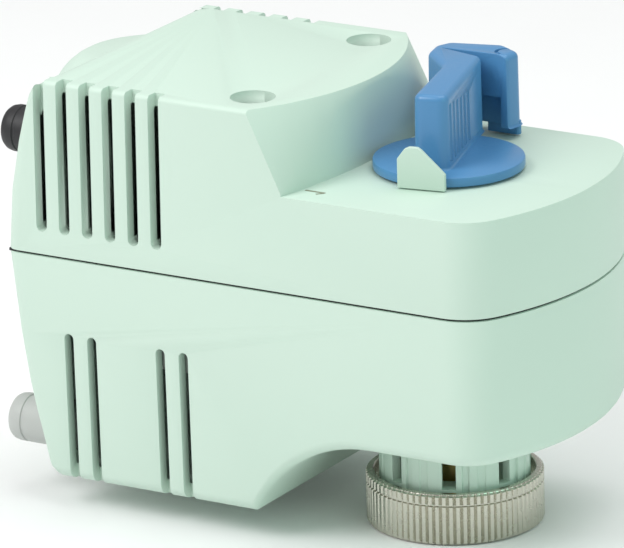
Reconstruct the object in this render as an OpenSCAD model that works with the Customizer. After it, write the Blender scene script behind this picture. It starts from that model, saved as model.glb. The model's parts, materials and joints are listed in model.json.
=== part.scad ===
// Motorised valve actuator head: two-part plastic housing, slotted valve neck with a union nut,
// gear train driving a push rod, and a manual adjuster knob on the deck.
// Origin: centre of the union nut's lower face. +Z up, +X towards the rounded front end.

/* [Housing] */
// Width of the housing across its flat sides
body_w = 80; // [72:0.5:96]
// Distance from the valve axis to the rear wall at the parting line
rear_reach = 106.3; // [104:0.1:128]
// Distance from the valve axis to the front wall
front_reach = 39.5; // [38:0.1:48]
// Radius of the front wall's arc in plan
front_arc_r = 73; // [60:1:100]
// Radius of the vertical front corners
corner_r = 13; // [8:0.5:18]
// Thickness of the side, front and rear walls
wall = 3; // [2:0.1:3.6]
// Thickness of the roof, deck and floor plates
plate = 3.4; // [2.4:0.1:4]
// Height of the lower housing's front part
lower_h = 38.3; // [32:0.1:46]
// How far the rear part hangs below the front part
rear_drop = 20.8; // [12:0.1:25]
// Radius of the hollow between the rear part and the valve neck
scoop_r = 36.5; // [30:0.5:44]
// Height of the deck above the parting line
deck_h = 24.8; // [21:0.1:30]
// Height of the roof above the deck
roof_h = 20.7; // [17:0.1:25]
// Radius of the roof's bulged front edge
roof_arc_r = 63; // [55:1:76]
// How far the slanted front face of the rear section runs out by the deck
roof_slant = 8.5; // [4:0.5:10]
// Gap that shows between the two housing halves
part_gap = 0.7; // [0.3:0.1:1.2]
// How far the seal between the halves sits back from the outer face
gasket_inset = 0.9; // [0.4:0.1:1.2]

/* [Vents] */
// Distance between neighbouring vent slots
vent_pitch = 6.74; // [5.6:0.02:7.5]
// Width of a vent slot
vent_w = 3.1; // [2:0.1:3.8]
// Depth of a vent slot measured from the side face
vent_depth = 4.4; // [4.1:0.1:5.2]
// Number of vent slots in each upper side
vent_count = 6; // [3:1:6]
// Depth of the shallow roof grooves
groove_depth = 0.6; // [0.3:0.1:1]
// Width of the shallow roof grooves
groove_w = 1.3; // [0.8:0.1:2]
// Distance between neighbouring roof grooves
groove_pitch = 6.4; // [5.4:0.1:7]

/* [Valve end] */
// Outer radius of the union nut
nut_r = 22.35; // [21.5:0.05:26.8]
// Height of the union nut
nut_h = 13.3; // [12:0.1:16]
// Radius of the nut's bore, the crest radius of its G 3/4 thread
nut_bore_r = 12.1; // [11:0.05:12.4]
// Number of flutes around the nut
nut_flutes = 80; // [48:4:96]
// Outer radius of the slotted valve neck
neck_r = 19; // [17:0.1:19.6]
// Free height of the neck between nut and housing
neck_h = 14.9; // [12:0.1:18]
// Width of the neck's slots
neck_slot_w = 3.5; // [2.5:0.1:3.9]
// Stroke of the push rod
stroke = 5.5; // [4:0.5:6.5]

/* [Knob] */
// Radius of the knob's disc
disc_r = 18.94; // [16:0.02:19.2]
// Thickness of the knob's disc
disc_t = 2.27; // [1.5:0.01:3]
// Height of the knob's grip above the disc
grip_h = 18.5; // [14:0.1:22]
// Gap between the deck and the knob's disc
disc_gap = 0.45; // [0.3:0.05:1]

/* [Drive] */
// Tooth module of all gears
gear_module = 1; // [0.9:0.05:1.05]
// Radius of the gear shafts
shaft_r = 1.5; // [1:0.1:1.8]
// Radius of the motor can
motor_r = 20; // [16:0.5:21]
// Radius of the push rod
rod_r = 4; // [3:0.1:4.6]

/* [Hidden] */
$fn = 64;

// Named clearances
run_fit = 0.05;
loose_fit = 0.3;
seat_fit = 0.1;
// How far a cut runs past the face it opens, and how far joined shapes overlap
past = 1;
joined = 0.01;

// Heights
front_z = nut_h + neck_h;
part_z = front_z + lower_h;
deck_z = part_z + deck_h;
roof_z = deck_z + roof_h;
rear_z = front_z - rear_drop;
half_w = body_w / 2;

// Plan outline
front_c = front_reach - front_arc_r;
corner_y = half_w - corner_r;
corner_x = front_c + sqrt(pow(front_arc_r - corner_r, 2) - pow(corner_y, 2));
corner_a = atan2(corner_y, corner_x - front_c);

// Rear walls: how far they lean in by each height, lower part measured up from rear_z
side_lean = [[9.5, 2.4], [8, 8], [4.4, 21.6]];
foot_lean = 12;
belt_lean = 2;
belt_drop = 21;
roof_lean = 11.3;
front_foot_r = 4;

// Hollow under the front part
scoop_x = -2.6;
scoop_cz = front_z - scoop_r;
scoop_foot = scoop_x - sqrt(pow(scoop_r, 2) - pow(rear_z - scoop_cz, 2));
scoop_a = atan2(rear_z - scoop_cz, scoop_foot - scoop_x);

// Roof front
roof_front = -21;
roof_cx = roof_front - roof_arc_r;
back_wall_r = 180;
back_wall_x = -20.4;
back_wall_a = asin(half_w / back_wall_r);
step_x = -60;

// Vents and roof pattern
vent_rear = -rear_reach + 11.4;
vent_floor = part_z + 6.2;
low_vent_top = part_z - 19.8;
low_vent_w = 2.7;
low_vent_steps = [1, 2, 5, 6];
grooves = 10;
groove_end = -51.8;

// Housing screws
screw_x = -39;
screw_y = half_w - 11.8;
boss_r = 4.5;
shank_r = 1.75;
head_r = 3.1;
head_h = 2.2;
hex_r = 1.5;
hex_h = 1.2;
sink_r = 5.7;
sink_depth = 4.6;
screw_reach = 14;

// Valve neck
nut_bore_z = 6.5;
flute_r = 0.62;
flute_z = 1.6;
rim_gap = 1.2;
rim_drop = 0.4;
neck_wall = 2.6;
neck_floor_z = nut_h - 2.3;
neck_tube_r = 13;
neck_tube_wall = 2;
neck_web = 2.5;
neck_slots = 8;
neck_slot_z = neck_floor_z + 2.5;
neck_slot_top = front_z - neck_web - 0.6;
neck_slot_turn = 25.3;
lip_z = nut_bore_z + 2;
ring_groove = 0.8;
ring_h = 1.1;
ring_z = nut_bore_z + 0.6;
ring_r = 14.5;
bush_r = 8;
bush_flange_r = 10.5;
bush_flange_h = 2;
coupler_r = 8;
coupler_z = nut_bore_z + 0.5;
coupler_top = front_z - neck_web - stroke - 1.4;
coupler_seat = nut_h + 1;

// Drive train: heights above the parting line
base_plate_z = part_z - 6.5;
base_plate_h = 2;
top_plate_z = part_z + 14;
top_plate_h = 1.5;
out_z = part_z - 3.5;
out_h = 4;
mid_z = part_z + 1.5;
mid_h = 3.5;
high_z = part_z + 6.5;
high_h = 3.5;
out_teeth = 48;
mid_pinion_teeth = 16;
mid_teeth = 36;
first_pinion_teeth = 14;
first_teeth = 36;
motor_teeth = 12;
mid_x = -gear_module * (out_teeth + mid_pinion_teeth) / 2;
first_x = mid_x - gear_module * (mid_teeth + first_pinion_teeth) / 2;
motor_turn = 35;
motor_arm = gear_module * (first_teeth + motor_teeth) / 2;
motor_x = first_x - motor_arm * cos(motor_turn);
motor_y = motor_arm * sin(motor_turn);
pressure_a = 20;
gear_thin = 0.16;
gear_lap = 0.3;
hub_r = 7.5;
hub_h = out_h + 8;
spacer_r = 4;
web_hole_r = 4;
web_hole_at = 14.5;
shaft_foot = base_plate_z - 1.5;
shaft_top = top_plate_z + 2.5;
rod_top = out_z + out_h + 3.5 + stroke;
motor_h = 30;
motor_top = base_plate_z - 1;
motor_cap = 2.5;
motor_shell = 5.5;
motor_air = 1;
motor_bands = [8, 14, 20];
band_h = 1.2;
band_depth = 0.7;

// Gear plates and their pillars
pillar_r = 3;
front_pillar = [22, 21];
rear_pillar = [-47, half_w - 14];
plate_rear = -rear_reach + 12.3;
plate_half = half_w - wall - 3.5;
plate_front = front_pillar[0] + 5;
plate_round = [front_pillar[0] + 10, half_w, 18];
top_plate_y = [-16, 21];
top_plate_rear = plate_rear + 2;
top_plate_front = mid_x + 8;
post_r = 2.4;
post_x = plate_rear + 5;
post_y = [-12, 18];

// Upper rear compartment
coil_r = 20;
coil_x = -rear_reach + 32.3;
coil_z = part_z + 20.5;
coil_y = -half_w + 5.8;
coil_len = 11.5;
coil_flange = 1.4;
coil_core_r = 6;
coil_tube_r = coil_core_r + 1.5;
coil_end = coil_y + 2 * coil_flange + coil_len;
board_z = part_z + 18;
board_t = 1.6;
board_x = -rear_reach + 13;
board_l = 46;
board_y = coil_end + 4;
board_top = board_z + board_t;
// Capacitors: place along and across the board, radius; relays: place along the board
cans = [[7.3, 19.9, 5], [21.3, 21.9, 4]];
can_h = 14;
relays = [5.3, 17.3, 29.3];
relay_size = [8, 6, 5];
relay_y = 29.9;
block_size = [16, 9, 10];
block_x = rear_pillar[0] - pillar_r - block_size[0];
block_pitch = 5;
block_hole_r = 1.6;

// Knob
disc_z = deck_z + disc_gap;
grip_z = disc_z + disc_t;
spindle_r = 6;
spindle_pin_r = spindle_r - 2;
spindle_foot = deck_z - plate - 2.2;
spindle_pin_h = 7;
clip_h = 1.6;
clip_r = spindle_r + 2.5;
tab_turn = 10;
tab_w = 12.4;
tab_h = 10.6;
tab_t = 1.3;
tab_foot_w = 6.8;
tab_foot = 1.7;
rib_r = 0.9;
rib_count = 4;
window = [8, 7.6, 11];

// Rear fittings
hump_r = 26;
hump_round = 14;
hump_x = -rear_reach + 14.5;
hump_y = 9;
hump_z = roof_z - 4 - hump_round;
hump_foot = part_z + part_gap / 2;
hump_depth = 6;
gland_y = -half_w + 12;
gland_z = rear_z + 10.6;
gland_r = 6.2;
gland_bore_r = 3.5;
gland_reach = 5.7;
gland_len = 20;
gland_lip = 3;
plug_y = -half_w + 13;
plug_z = part_z + 28;
plug_r = 6;
plug_reach = 5.5;
plug_len = 14;
plug_lip = 3;

housing_c = [0.81, 0.89, 0.84];
blue_c = [0.33, 0.55, 0.73];
nickel_c = [0.72, 0.71, 0.66];
steel_c = [0.66, 0.67, 0.69];
brass_c = [0.75, 0.62, 0.33];
dark_c = [0.13, 0.13, 0.14];
acetal_c = [0.89, 0.87, 0.79];
former_c = [0.1, 0.5, 0.75];
winding_c = [0.2, 0.12, 0.08];
board_c = [0.1, 0.35, 0.2];
grey_c = [0.75, 0.77, 0.75];

// Lengths that reach past the whole model
far = body_w * 2;

function arc(cx, cy, r, a0, a1, n) = [for (i = [0:n]) let (a = a0 + (a1 - a0) * i / n)
    [cx + r * cos(a), cy + r * sin(a)]];

// ---------- Housing shapes ----------
module plan() {
    polygon(concat([[-rear_reach - far, -half_w]],
        arc(corner_x, -corner_y, corner_r, -90, -corner_a, 8),
        arc(front_c, 0, front_arc_r, -corner_a * 0.9, corner_a * 0.9, 14),
        arc(corner_x, corner_y, corner_r, corner_a, 90, 8),
        [[-rear_reach - far, half_w]]));
}

module lower_side() {
    polygon(concat([[front_reach + past, part_z], [-rear_reach, part_z],
        [-rear_reach + belt_lean, part_z - belt_drop]],
        [for (i = [2:-1:0]) [-rear_reach + side_lean[i][0], rear_z + side_lean[i][1]]],
        [[-rear_reach + foot_lean, rear_z]],
        arc(scoop_x, scoop_cz, scoop_r, scoop_a, 90, 9),
        arc(front_reach - front_foot_r, front_z + front_foot_r, front_foot_r, -90, -45, 3),
        [[front_reach + past, front_z + front_foot_r + past]]));
}

module upper_side() {
    polygon([[-20, part_z], [-rear_reach, part_z], [-rear_reach + 1, part_z + 15.5],
        [-rear_reach + 3.4, deck_z + 4], [-rear_reach + 5.6, roof_z - 8],
        [-rear_reach + 8.3, roof_z - 2], [-rear_reach + roof_lean, roof_z], [-20, roof_z]]);
}

module slab(z0, z1) {
    translate([0, 0, z0]) linear_extrude(z1 - z0) children();
}

module sideways() {
    rotate([90, 0, 0]) linear_extrude(far, center = true) children();
}

module tall_plan(inset) {
    polygon(concat([[-rear_reach - far, -half_w]],
        arc(back_wall_x - back_wall_r - inset, 0, back_wall_r, -back_wall_a, back_wall_a, 10),
        [[-rear_reach - far, half_w]]));
}

module lower_body() {
    intersection() {
        slab(0, part_z - part_gap / 2) plan();
        sideways() lower_side();
    }
}

module lower_room() {
    intersection() {
        slab(0, part_z + past) offset(delta = -wall) plan();
        sideways() offset(delta = -plate) lower_side();
    }
    intersection() {
        slab(part_z - plate - past, part_z + past) offset(delta = -wall) plan();
        translate([-rear_reach + wall, -far / 2, 0]) cube([far * 2, far, far]);
    }
}

// Block under the deck, from the step forwards
module deck_block(top) {
    translate([step_x, -far / 2, part_z - past]) cube([far, far, top - part_z + past]);
}

module upper_body() {
    intersection() {
        slab(part_z + part_gap / 2, roof_z) plan();
        union() {
            deck_block(deck_z);
            intersection() {
                sideways() upper_side();
                slab(part_z, roof_z) tall_plan(0);
                roof_cone(0);
            }
        }
    }
    hump(0);
}

// Slanted front of the rear section: a cone about an upright axis
module roof_cone(inset) {
    foot_r = roof_arc_r + roof_slant - inset;
    translate([roof_cx, 0, deck_z])
        cylinder(h = roof_h + joined, r1 = foot_r, r2 = roof_arc_r - inset, $fn = 96);
    translate([roof_cx, 0, part_z - past])
        cylinder(h = deck_h + past + joined, r = foot_r, $fn = 96);
}

module upper_room() {
    intersection() {
        slab(part_z - past, roof_z - plate) offset(delta = -wall) plan();
        union() {
            deck_block(deck_z - plate);
            intersection() {
                translate([wall, 0, 0]) sideways() upper_side();
                slab(part_z - past, roof_z) tall_plan(wall);
                roof_cone(wall);
            }
        }
    }
    translate([-rear_reach + wall, -half_w + wall, part_z - past])
        cube([-step_x, body_w - 2 * wall, 2 * past]);
    hump(wall);
}

// Rounded boss on the rear wall; inset gives its hollow, which keeps a floor
module hump(inset) {
    foot = hump_foot + inset - hump_z;
    round_z = -inset;
    intersection() {
        translate([hump_x, hump_y, hump_z]) rotate_extrude($fn = 72)
            polygon(concat([[0, foot], [hump_r - inset, foot]],
                arc(hump_r - hump_round - inset, round_z, hump_round, 0, 90, 8),
                [[0, hump_round + round_z]]));
        translate([-rear_reach - far, -far / 2, 0]) cube([far + hump_depth, far, roof_z]);
    }
}

module slot_shape(w, h) {
    polygon(concat([[-w / 2, 0], [w / 2, 0]], arc(0, h - w / 2, w / 2, 0, 180, 8)));
}

module vent(step, side, z, turn) {
    w = turn == 0 ? low_vent_w : vent_w;
    translate([vent_rear + step * vent_pitch, side * half_w + vent_depth, z]) rotate([90, 0, 0])
        linear_extrude(vent_depth * 2) rotate(turn) slot_shape(w, far);
}

module upper_vents(side) {
    for (i = [0:vent_count - 1]) vent(i, side, vent_floor + far, 180);
}

module lower_vents(side) {
    for (i = low_vent_steps) vent(i, side, low_vent_top - far, 0);
}

module roof_grooves() {
    for (i = [0:grooves - 1]) {
        y = (i - (grooves - 1) / 2) * groove_pitch;
        end = groove_end - pow(y, 2) / 100;
        translate([-rear_reach - past, y - groove_w / 2, roof_z - groove_depth])
            cube([rear_reach + past + end, groove_w, groove_depth + past]);
    }
}

module screw_places() {
    for (side = [-1, 1]) translate([screw_x, side * screw_y, 0]) children();
}

module lower_housing() color(housing_c) {
    difference() {
        union() {
            difference() {
                lower_body();
                lower_room();
            }
            intersection() {
                lower_body();
                screw_places() cylinder(r = boss_r, h = part_z);
            }
        }
        screw_places() translate([0, 0, part_z - screw_reach - past])
            cylinder(r = shank_r + run_fit, h = screw_reach + 2 * past);
        translate([0, 0, front_z - past]) cylinder(r = bush_r + seat_fit, h = plate + 2 * past);
        translate([0, 0, -past]) cylinder(r = neck_r + seat_fit, h = front_z + past);
        for (side = [-1, 1]) lower_vents(side);
        translate([-rear_reach, gland_y, gland_z]) rotate([0, 90, 0])
            cylinder(r = gland_r + seat_fit, h = gland_len - gland_reach + past);
    }
}

module upper_housing() color(housing_c) {
    difference() {
        union() {
            difference() {
                upper_body();
                upper_room();
            }
            intersection() {
                upper_body();
                screw_places() translate([0, 0, part_z]) cylinder(r = sink_r + 0.8, h = roof_h + deck_h);
            }
        }
        screw_places() {
            translate([0, 0, part_z - past])
                cylinder(r = shank_r + loose_fit, h = roof_h + deck_h + 2 * past);
            translate([0, 0, roof_z - sink_depth]) cylinder(r = sink_r, h = sink_depth + past);
        }
        translate([0, 0, deck_z - plate - past]) cylinder(r = spindle_r + loose_fit, h = plate + 2 * past);
        for (side = [-1, 1]) upper_vents(side);
        roof_grooves();
        translate([-rear_reach - past, plug_y, plug_z]) rotate([0, 90, 0])
            cylinder(r = plug_r + seat_fit, h = plug_len - plug_reach + 2 * past);
    }
}

module gasket_slice(inset, h) {
    intersection() {
        slab(part_z - h, part_z + h) offset(delta = -inset) plan();
        translate([-rear_reach + inset, -far / 2, 0]) cube([far * 2, far, far]);
    }
}

module housing_gasket() color(dark_c) {
    difference() {
        gasket_slice(gasket_inset, part_gap / 2);
        gasket_slice(wall, part_gap / 2 + past);
    }
}

module housing_screws() color(steel_c) {
    head_z = roof_z - sink_depth;
    screw_places() difference() {
        union() {
            translate([0, 0, head_z]) cylinder(r = head_r, h = head_h);
            translate([0, 0, part_z - screw_reach])
                cylinder(r = shank_r, h = head_z - part_z + screw_reach + joined);
        }
        translate([0, 0, head_z + head_h - hex_h]) cylinder(r = hex_r, h = hex_h + past, $fn = 6);
    }
}

// ---------- Valve end ----------
module valve_neck() color(housing_c) {
    inner_r = neck_tube_r - neck_tube_wall;
    difference() {
        rotate_extrude($fn = 96) polygon([
            [inner_r, nut_bore_z + loose_fit], [neck_tube_r, nut_bore_z + loose_fit],
            [neck_tube_r, ring_z], [neck_tube_r - ring_groove, ring_z],
            [neck_tube_r - ring_groove, ring_z + ring_h + seat_fit],
            [neck_tube_r, ring_z + ring_h + seat_fit],
            [neck_tube_r, neck_floor_z], [neck_r, neck_floor_z], [neck_r, front_z],
            [bush_r + seat_fit, front_z], [bush_r + seat_fit, front_z - neck_web],
            [neck_r - neck_wall, front_z - neck_web], [neck_r - neck_wall, neck_floor_z + 2],
            [inner_r, neck_floor_z + 2]]);
        for (i = [0:neck_slots - 1]) rotate(neck_slot_turn + i * 360 / neck_slots)
            translate([neck_r - neck_wall - 2, 0, neck_slot_z]) rotate([90, 0, 90])
                linear_extrude(neck_wall + 4) slot_shape(neck_slot_w, neck_slot_top - neck_slot_z);
    }
}

module guide_bush() color(brass_c) {
    foot = front_z - neck_web;
    flange_z = front_z + plate;
    difference() {
        union() {
            translate([0, 0, foot]) cylinder(r = bush_r, h = flange_z - foot);
            translate([0, 0, flange_z]) cylinder(r = bush_flange_r, h = bush_flange_h);
        }
        translate([0, 0, foot - past])
            cylinder(r = rod_r + run_fit, h = flange_z + bush_flange_h - foot + 2 * past);
    }
}

module nut_snap_ring() color(steel_c) {
    split = 3;
    translate([0, 0, ring_z + run_fit]) difference() {
        cylinder(r = ring_r - 2 * seat_fit, h = ring_h);
        translate([0, 0, -past]) cylinder(r = neck_tube_r - ring_groove + run_fit, h = ring_h + 2 * past);
        translate([0, -split / 2, -past]) cube([ring_r + past, split, ring_h + 2 * past]);
    }
}

module union_nut() color(nickel_c) {
    difference() {
        cylinder(r = nut_r, h = nut_h);
        translate([0, 0, -past]) cylinder(r = nut_bore_r, h = nut_bore_z + past);
        translate([0, 0, nut_bore_z]) cylinder(r = ring_r + loose_fit, h = lip_z - nut_bore_z);
        translate([0, 0, lip_z - past]) cylinder(r = neck_tube_r + run_fit, h = nut_h);
        translate([0, 0, neck_floor_z - rim_drop]) cylinder(r = neck_r + rim_gap, h = nut_h);
        for (i = [0:nut_flutes - 1]) rotate(i * 360 / nut_flutes)
            translate([nut_r + flute_r / 4, 0, flute_z]) cylinder(r = flute_r, h = nut_h, $fn = 6);
    }
}

// ---------- Drive ----------
function inv(a) = tan(a) * 180 / PI - a;

// Half the angle of a tooth at radius r
function tooth_half(count, r) = let (pitch_r = gear_module * count / 2, base_r = pitch_r * cos(pressure_a))
    90 / count - gear_thin / 2 / pitch_r * 180 / PI + inv(pressure_a)
    - inv(acos(min(1, base_r / max(r, base_r))));

module teeth(count) {
    pitch_r = gear_module * count / 2;
    root_r = pitch_r - 1.25 * gear_module;
    tip_r = pitch_r + 0.8 * gear_module;
    low_r = max(root_r + 0.05, pitch_r * cos(pressure_a));
    radii = [root_r, low_r, pitch_r, tip_r];
    polygon([for (i = [0:count - 1]) let (mid = i * 360 / count) each concat(
        [for (k = [0:3]) let (a = mid - tooth_half(count, radii[k])) radii[k] * [cos(a), sin(a)]],
        [for (k = [3:-1:0]) let (a = mid + tooth_half(count, radii[k])) radii[k] * [cos(a), sin(a)]])]);
}

module gear(count, z, h, turn) {
    translate([0, 0, z]) rotate(turn) linear_extrude(h) teeth(count);
}

module output_gear() color(acetal_c) {
    difference() {
        union() {
            gear(out_teeth, out_z, out_h, 0);
            translate([0, 0, out_z - 2 * gear_lap]) cylinder(r = hub_r, h = hub_h);
        }
        translate([0, 0, out_z - past]) cylinder(r = rod_r + run_fit, h = hub_h + 2 * past);
        for (i = [0:5]) rotate(30 + i * 60) translate([web_hole_at, 0, out_z - past])
            cylinder(r = web_hole_r, h = out_h + 2 * past);
    }
}

// Shaft through both plates, with a spacer up to the top plate
module gear_shaft(spacer_z) {
    translate([0, 0, shaft_foot]) cylinder(r = shaft_r, h = shaft_top - shaft_foot);
    translate([0, 0, spacer_z - joined]) cylinder(r = spacer_r, h = top_plate_z - loose_fit - spacer_z);
}

module second_gear() color(acetal_c) {
    translate([mid_x, 0, 0]) {
        gear(mid_pinion_teeth, out_z - gear_lap, mid_z - out_z + gear_lap, 180 / mid_pinion_teeth);
        gear(mid_teeth, mid_z, mid_h, 0);
        gear_shaft(mid_z + mid_h);
    }
}

module first_gear() color(acetal_c) {
    translate([first_x, 0, 0]) {
        gear(first_pinion_teeth, mid_z - gear_lap, high_z - mid_z + gear_lap, 180 / first_pinion_teeth);
        gear(first_teeth, high_z, high_h, 180 - motor_turn);
        gear_shaft(high_z + high_h);
    }
}

module motor_rotor() color(steel_c) {
    foot = motor_top - motor_h;
    translate([motor_x, motor_y, 0]) {
        gear(motor_teeth, high_z - gear_lap, high_h + 2 * gear_lap, 180 / motor_teeth - motor_turn);
        translate([0, 0, foot + 1]) cylinder(r = shaft_r, h = top_plate_z + 3 - foot - 1);
        translate([0, 0, foot + motor_cap + 1.5])
            cylinder(r = motor_r - motor_shell - motor_air, h = motor_h - 2 * motor_cap - 3);
    }
}

module motor_can() color(steel_c) {
    translate([motor_x, motor_y, motor_top - motor_h]) difference() {
        cylinder(r = motor_r, h = motor_h);
        translate([0, 0, motor_cap]) cylinder(r = motor_r - motor_shell, h = motor_h - 2 * motor_cap);
        translate([0, 0, -past]) cylinder(r = shaft_r + run_fit, h = motor_h + 2 * past);
        for (z = motor_bands) translate([0, 0, z]) difference() {
            cylinder(r = motor_r + past, h = band_h);
            translate([0, 0, -past]) cylinder(r = motor_r - band_depth, h = band_h + 2 * past);
        }
    }
}

module shaft_holes(h) {
    for (p = [[mid_x, 0], [first_x, 0], [motor_x, motor_y]])
        translate([p[0], p[1], -past]) cylinder(r = shaft_r + run_fit, h = h + 2 * past);
}

module gear_plate() color(steel_c) {
    cut_h = base_plate_h + 2 * past;
    translate([0, 0, base_plate_z]) difference() {
        translate([plate_rear, -plate_half, 0])
            cube([plate_front - plate_rear, 2 * plate_half, base_plate_h]);
        shaft_holes(base_plate_h);
        translate([0, 0, -past]) {
            cylinder(r = rod_r + 1, h = cut_h);
            screw_places() cylinder(r = boss_r + 1, h = cut_h);
            for (side = [-1, 1]) translate([plate_round[0], side * plate_round[1], 0])
                cylinder(r = plate_round[2], h = cut_h);
        }
    }
}

module top_plate() color(steel_c) {
    translate([0, 0, top_plate_z]) difference() {
        translate([top_plate_rear, top_plate_y[0], 0])
            cube([top_plate_front - top_plate_rear, top_plate_y[1] - top_plate_y[0], top_plate_h]);
        shaft_holes(top_plate_h);
    }
}

// Upright round bar from z0 to z1
module bar(x, y, z0, z1, r) {
    translate([x, y, z0]) cylinder(r = r, h = z1 - z0);
}

module plate_pillars() color(steel_c) {
    for (side = [-1, 1]) {
        bar(front_pillar[0], side * front_pillar[1], front_z + plate, base_plate_z, pillar_r);
        bar(rear_pillar[0], side * rear_pillar[1], rear_z + plate, base_plate_z, pillar_r);
    }
    for (y = post_y) bar(post_x, y, base_plate_z + base_plate_h, top_plate_z, post_r);
}

module push_rod() color(steel_c) {
    bar(0, 0, coupler_seat, rod_top, rod_r);
}

module stem_coupler() color(brass_c) {
    difference() {
        bar(0, 0, coupler_z, coupler_top, coupler_r);
        bar(0, 0, coupler_seat, coupler_top + past, rod_r);
    }
}

// ---------- Rear compartment ----------
module across(y, h) {
    translate([coil_x, y + h, coil_z]) rotate([90, 0, 0]) children();
}

module ring(h, r, hole_r) {
    difference() {
        cylinder(r = r, h = h);
        translate([0, 0, -past]) cylinder(r = hole_r, h = h + 2 * past);
    }
}

module coil_former() color(former_c) {
    across(coil_y, coil_flange) ring(coil_flange, coil_r, coil_tube_r);
    across(coil_end - coil_flange, coil_flange) ring(coil_flange, coil_r - 2, coil_tube_r);
    across(coil_y, coil_end - coil_y) ring(coil_end - coil_y, coil_tube_r, coil_core_r + seat_fit);
}

module coil_winding() color(winding_c) {
    across(coil_y + coil_flange, coil_len) ring(coil_len, coil_r - 2.5, coil_tube_r);
}

module coil_core() color(steel_c) {
    across(coil_y, coil_end - coil_y + 1.5) cylinder(r = coil_core_r, h = coil_end - coil_y + 1.5);
}

module circuit_board() color(board_c) {
    translate([board_x, board_y, board_z]) cube([board_l, half_w - wall - 6 - board_y, board_t]);
}

module board_parts() color(dark_c) {
    for (p = cans) bar(board_x + p[0], board_y + p[1], board_top, board_top + can_h, p[2]);
    for (x = relays) translate([board_x + x, board_y + relay_y, board_top]) cube(relay_size);
}

module terminal_block() color(grey_c) {
    translate([block_x, -half_w + wall + 2, low_vent_top + wall - block_size[2]]) difference() {
        cube(block_size);
        for (i = [0:2]) translate([3 + i * block_pitch, block_size[1] / 2, block_size[2] / 2])
            cylinder(r = block_hole_r, h = block_size[2]);
    }
}

module cable_gland() color(grey_c) {
    translate([-rear_reach - gland_reach, gland_y, gland_z]) rotate([0, 90, 0]) difference() {
        union() {
            cylinder(r1 = gland_r - 1.4, r2 = gland_r, h = gland_lip);
            translate([0, 0, gland_lip - joined]) cylinder(r = gland_r, h = gland_len - gland_lip + joined);
        }
        translate([0, 0, -past]) cylinder(r = gland_bore_r, h = gland_len + 2 * past);
    }
}

module blanking_plug() color(dark_c) {
    translate([-rear_reach - plug_reach, plug_y, plug_z]) rotate([0, 90, 0]) {
        cylinder(r1 = plug_r - plug_lip, r2 = plug_r, h = plug_lip);
        translate([0, 0, plug_lip - joined]) cylinder(r = plug_r, h = plug_len - plug_lip + joined);
    }
}

// ---------- Knob ----------
module grip_plan() {
    offset(r = 1) offset(delta = -1) polygon([[-3.8, -10.5], [-2, -12.3], [2, -12.3], [4, -10.5], [4.4, -8],
        [-5.6, 22.4], [-13.6, 24.4], [-13.5, 25.9], [-2.6, 25.8], [1.6, 26.4], [2.6, 31.5], [-3.4, 35],
        [-17, 31.2], [-19, 27], [-17.6, 22.2], [-9.2, 12.6]]);
}

module manual_knob() color(blue_c) {
    difference() {
        union() {
            translate([0, 0, disc_z]) cylinder(r = disc_r, h = disc_t, $fn = 96);
            translate([0, 0, grip_z - joined]) linear_extrude(grip_h + joined) grip_plan();
        }
        translate([0, 0, disc_z - past]) cylinder(r = spindle_pin_r + seat_fit, h = spindle_pin_h + 2 * past);
        rotate(tab_turn - 90)
            translate([disc_r - tab_foot - seat_fit, -tab_foot_w / 2 - seat_fit, disc_z - past])
                cube([tab_foot + past, tab_foot_w + 2 * seat_fit, disc_t + 2 * past]);
        translate([-9, 24, disc_z - past]) cube(window);
        for (i = [0:rib_count - 1]) translate([3.97 - i * 1.9, -5.31 + i * 5.8, grip_z + 2])
            cylinder(r = rib_r, h = grip_h - 4, $fn = 12);
    }
}

module knob_spindle() color(steel_c) {
    bar(0, 0, spindle_foot, disc_z - run_fit, spindle_r);
    bar(0, 0, disc_z - 2 * run_fit, disc_z + spindle_pin_h, spindle_pin_r);
    bar(0, 0, spindle_foot - loose_fit, spindle_foot - loose_fit + clip_h, clip_r);
}

module position_pointer() color(housing_c) {
    rotate(tab_turn - 90) {
        translate([disc_r + seat_fit, -tab_w / 2, deck_z + loose_fit]) rotate([90, 0, 90])
            linear_extrude(tab_t) polygon([[0, 0], [tab_w, 0], [tab_w, tab_h * 0.4],
                [tab_w - 0.3, tab_h * 0.47], [tab_w * 0.48, tab_h * 0.96], [tab_w * 0.4, tab_h],
                [tab_w * 0.27, tab_h], [tab_w * 0.18, tab_h * 0.96], [0, tab_h * 0.72]]);
        translate([disc_r - tab_foot, -tab_foot_w / 2, disc_z + run_fit])
            cube([tab_foot + 2 * seat_fit, tab_foot_w, disc_t - 2 * run_fit]);
    }
}

lower_housing();
upper_housing();
housing_gasket();
housing_screws();
valve_neck();
guide_bush();
nut_snap_ring();
gear_plate();
top_plate();
plate_pillars();
motor_can();
coil_former();
coil_winding();
coil_core();
circuit_board();
board_parts();
terminal_block();
cable_gland();
blanking_plug();
union_nut();
manual_knob();
knob_spindle();
position_pointer();
output_gear();
push_rod();
stem_coupler();
second_gear();
first_gear();
motor_rotor();
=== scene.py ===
"""Looks of the motorised valve actuator head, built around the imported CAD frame.

Lengths in the shape code are millimetres; every mesh is scaled to metres when it is made.
"""

import json
import math

import bmesh
import bpy
import numpy as np
from mathutils import Matrix, Vector


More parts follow.
